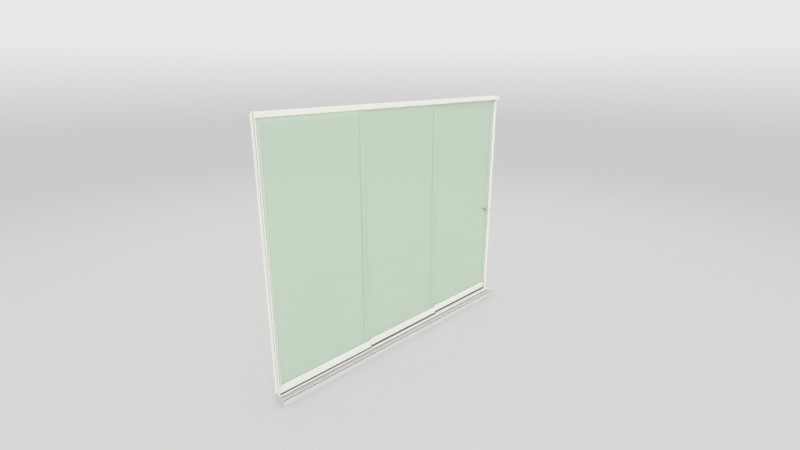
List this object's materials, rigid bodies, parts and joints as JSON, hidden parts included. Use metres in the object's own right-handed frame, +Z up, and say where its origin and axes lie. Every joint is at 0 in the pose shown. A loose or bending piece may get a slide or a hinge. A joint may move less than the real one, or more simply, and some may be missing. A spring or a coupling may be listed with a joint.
{
  "type": "glass sliding patio door",
  "caption": "Sliding patio door with frameless glass leaves on parallel tracks, which stack to the left, with a threshold, head track and side profiles.",
  "frame": {"origin": "middle of the threshold's flat underside", "axes": "+X along the door towards the closing side, +Y from outdoors to indoors, +Z up"},
  "size_m": [3, 0.1667, 2.424],
  "materials": {
    "white_coated_aluminium": "satin powder coat",
    "pale_green_glass": "polished",
    "white_plastic": "satin moulded",
    "clear_liner": "soft translucent",
    "black_pile": "dense pile",
    "grey_pile": "dense pile",
    "black_plastic": "satin moulded",
    "black_rubber": "matt",
    "brushed_steel": "brushed"
  },
  "bodies": {
    "frame": {"threshold_base": "white_coated_aluminium", "threshold_end_cap_left": "white_plastic", "threshold_end_cap_right": "white_plastic", "floor_track": "white_coated_aluminium", "head_track": "white_coated_aluminium", "head_end_cap": "white_plastic", "head_brush_seals": "grey_pile", "side_profile_left": "white_coated_aluminium", "side_profile_right": "white_coated_aluminium", "side_gasket_left": "clear_liner", "side_brush_right": "grey_pile", "end_stops": "black_plastic", "end_stop_buffers": "black_rubber", "left_leaf_catch": "black_plastic", "left_leaf_glass": "pale_green_glass", "left_leaf_shoe": "white_coated_aluminium", "left_leaf_shoe_caps": "white_plastic", "left_leaf_glazing_liner": "clear_liner", "left_leaf_bottom_brushes": "black_pile", "left_leaf_roller_carriages": "black_plastic", "left_leaf_rollers": "white_plastic", "left_leaf_top_guide": "white_coated_aluminium"},
    "middle_leaf": {"middle_leaf_glass": "pale_green_glass", "middle_leaf_shoe": "white_coated_aluminium", "middle_leaf_shoe_caps": "white_plastic", "middle_leaf_glazing_liner": "clear_liner", "middle_leaf_bottom_brushes": "black_pile", "middle_leaf_roller_carriages": "black_plastic", "middle_leaf_rollers": "white_plastic", "middle_leaf_top_guide": "white_coated_aluminium", "middle_leaf_catches": "black_plastic"},
    "right_leaf": {"right_leaf_glass": "pale_green_glass", "right_leaf_shoe": "white_coated_aluminium", "right_leaf_shoe_caps": "white_plastic", "right_leaf_glazing_liner": "clear_liner", "right_leaf_bottom_brushes": "black_pile", "right_leaf_roller_carriages": "black_plastic", "right_leaf_rollers": "white_plastic", "right_leaf_top_guide": "white_coated_aluminium", "right_leaf_catch": "black_plastic", "knob_necks": "black_plastic", "knob_front": "brushed_steel", "knob_rear": "brushed_steel", "knob_rosettes": "brushed_steel", "knob_bolt": "brushed_steel"}
  },
  "joints": [
    {"name": "middle_leaf_slide", "type": "slide", "parent": "frame", "child": "middle_leaf", "axis": [1, 0, 0], "range_m": [-0.934, 0]},
    {"name": "right_leaf_slide", "type": "slide", "parent": "middle_leaf", "child": "right_leaf", "axis": [1, 0, 0], "range_m": [-0.8495, 0]}
  ]
}
